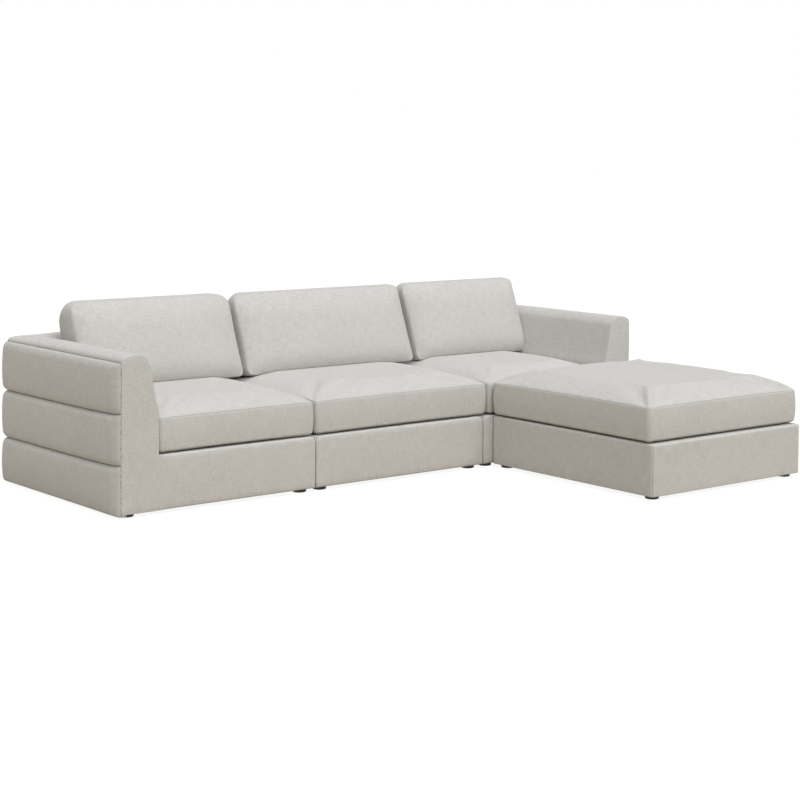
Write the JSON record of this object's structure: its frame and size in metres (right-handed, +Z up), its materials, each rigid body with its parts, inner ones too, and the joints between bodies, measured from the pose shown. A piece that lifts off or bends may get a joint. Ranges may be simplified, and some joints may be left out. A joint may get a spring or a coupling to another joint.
{
  "type": "sectional sofa",
  "caption": "Low modular sofa: a left and a right corner unit with an armless unit between, and a loose ottoman as the chaise; padded rolls round arms and back, loose cushions",
  "frame": {"origin": "under the middle of the whole sofa's bounding box, on the floor", "axes": "+X to the right as seen from the front, along the row of units; +Y to the back, so the sofa faces -Y; +Z up"},
  "size_m": [2.744, 1.893, 0.74],
  "materials": {
    "fabric": "pale oatmeal woven cloth with a fine heathered weave, matt",
    "timber": "planed softwood, unfinished",
    "strapping": "woven elastic webbing, matt",
    "dust_cloth": "thin black non-woven cloth, matt",
    "plastic": "moulded black plastic, satin",
    "steel": "plain pressed steel"
  },
  "bodies": {
    "middle_unit": {"middle_frame": "timber", "middle_webbing": "strapping", "middle_deck_pad": "fabric", "middle_dust_cover": "dust_cloth", "middle_front_cover": "fabric", "middle_inner_cover": "fabric", "middle_lower_roll": "fabric", "middle_middle_roll": "fabric", "middle_upper_roll": "fabric", "middle_foot_left_front": "plastic", "middle_foot_left_rear": "plastic", "middle_foot_right_front": "plastic", "middle_foot_right_rear": "plastic", "left_connector_sleeve": "steel", "right_connector_tongue": "steel"},
    "left_unit": {"left_frame": "timber", "left_webbing": "strapping", "left_deck_pad": "fabric", "left_dust_cover": "dust_cloth", "left_front_cover": "fabric", "left_inner_cover": "fabric", "left_lower_roll": "fabric", "left_middle_roll": "fabric", "left_upper_roll": "fabric", "left_foot_outer_front": "plastic", "left_foot_outer_rear": "plastic", "left_foot_inner_front": "plastic", "left_foot_inner_rear": "plastic", "left_connector_tongue": "steel"},
    "right_unit": {"right_frame": "timber", "right_webbing": "strapping", "right_deck_pad": "fabric", "right_dust_cover": "dust_cloth", "right_front_cover": "fabric", "right_inner_cover": "fabric", "right_lower_roll": "fabric", "right_middle_roll": "fabric", "right_upper_roll": "fabric", "right_foot_outer_front": "plastic", "right_foot_outer_rear": "plastic", "right_foot_inner_front": "plastic", "right_foot_inner_rear": "plastic", "right_connector_sleeve": "steel"},
    "ottoman": {"ottoman_frame": "timber", "ottoman_webbing": "strapping", "ottoman_deck_pad": "fabric", "ottoman_dust_cover": "dust_cloth", "ottoman_cover": "fabric", "ottoman_foot_left_front": "plastic", "ottoman_foot_left_rear": "plastic", "ottoman_foot_right_front": "plastic", "ottoman_foot_right_rear": "plastic"},
    "left_seat": {"left_seat_cushion": "fabric"},
    "middle_seat": {"middle_seat_cushion": "fabric"},
    "right_seat": {"right_seat_cushion": "fabric"},
    "ottoman_seat": {"ottoman_cushion": "fabric"},
    "left_back": {"left_back_cushion": "fabric"},
    "middle_back": {"middle_back_cushion": "fabric"},
    "right_back": {"right_back_cushion": "fabric"}
  },
  "joints": [
    {"name": "left_unit_apart", "type": "slide", "parent": "middle_unit", "child": "left_unit", "axis": [-1, 0, 0], "range_m": [0, 0.3]},
    {"name": "right_unit_apart", "type": "slide", "parent": "middle_unit", "child": "right_unit", "axis": [1, 0, 0], "range_m": [0, 0.3]},
    {"name": "ottoman_away", "type": "slide", "parent": "middle_unit", "child": "ottoman", "axis": [0, -1, 0], "range_m": [0, 0.6]},
    {"name": "left_seat_lift", "type": "slide", "parent": "left_unit", "child": "left_seat", "axis": [0, 0, 1], "range_m": [0, 0.55]},
    {"name": "middle_seat_lift", "type": "slide", "parent": "middle_unit", "child": "middle_seat", "axis": [0, 0, 1], "range_m": [0, 0.55]},
    {"name": "right_seat_lift", "type": "slide", "parent": "right_unit", "child": "right_seat", "axis": [0, 0, 1], "range_m": [0, 0.55]},
    {"name": "ottoman_seat_lift", "type": "slide", "parent": "ottoman", "child": "ottoman_seat", "axis": [0, 0, 1], "range_m": [0, 0.55]},
    {"name": "left_back_lift", "type": "slide", "parent": "left_seat", "child": "left_back", "axis": [0, 0, 1], "range_m": [0, 0.36]},
    {"name": "middle_back_lift", "type": "slide", "parent": "middle_seat", "child": "middle_back", "axis": [0, 0, 1], "range_m": [0, 0.36]},
    {"name": "right_back_lift", "type": "slide", "parent": "right_seat", "child": "right_back", "axis": [0, 0, 1], "range_m": [0, 0.36]}
  ]
}
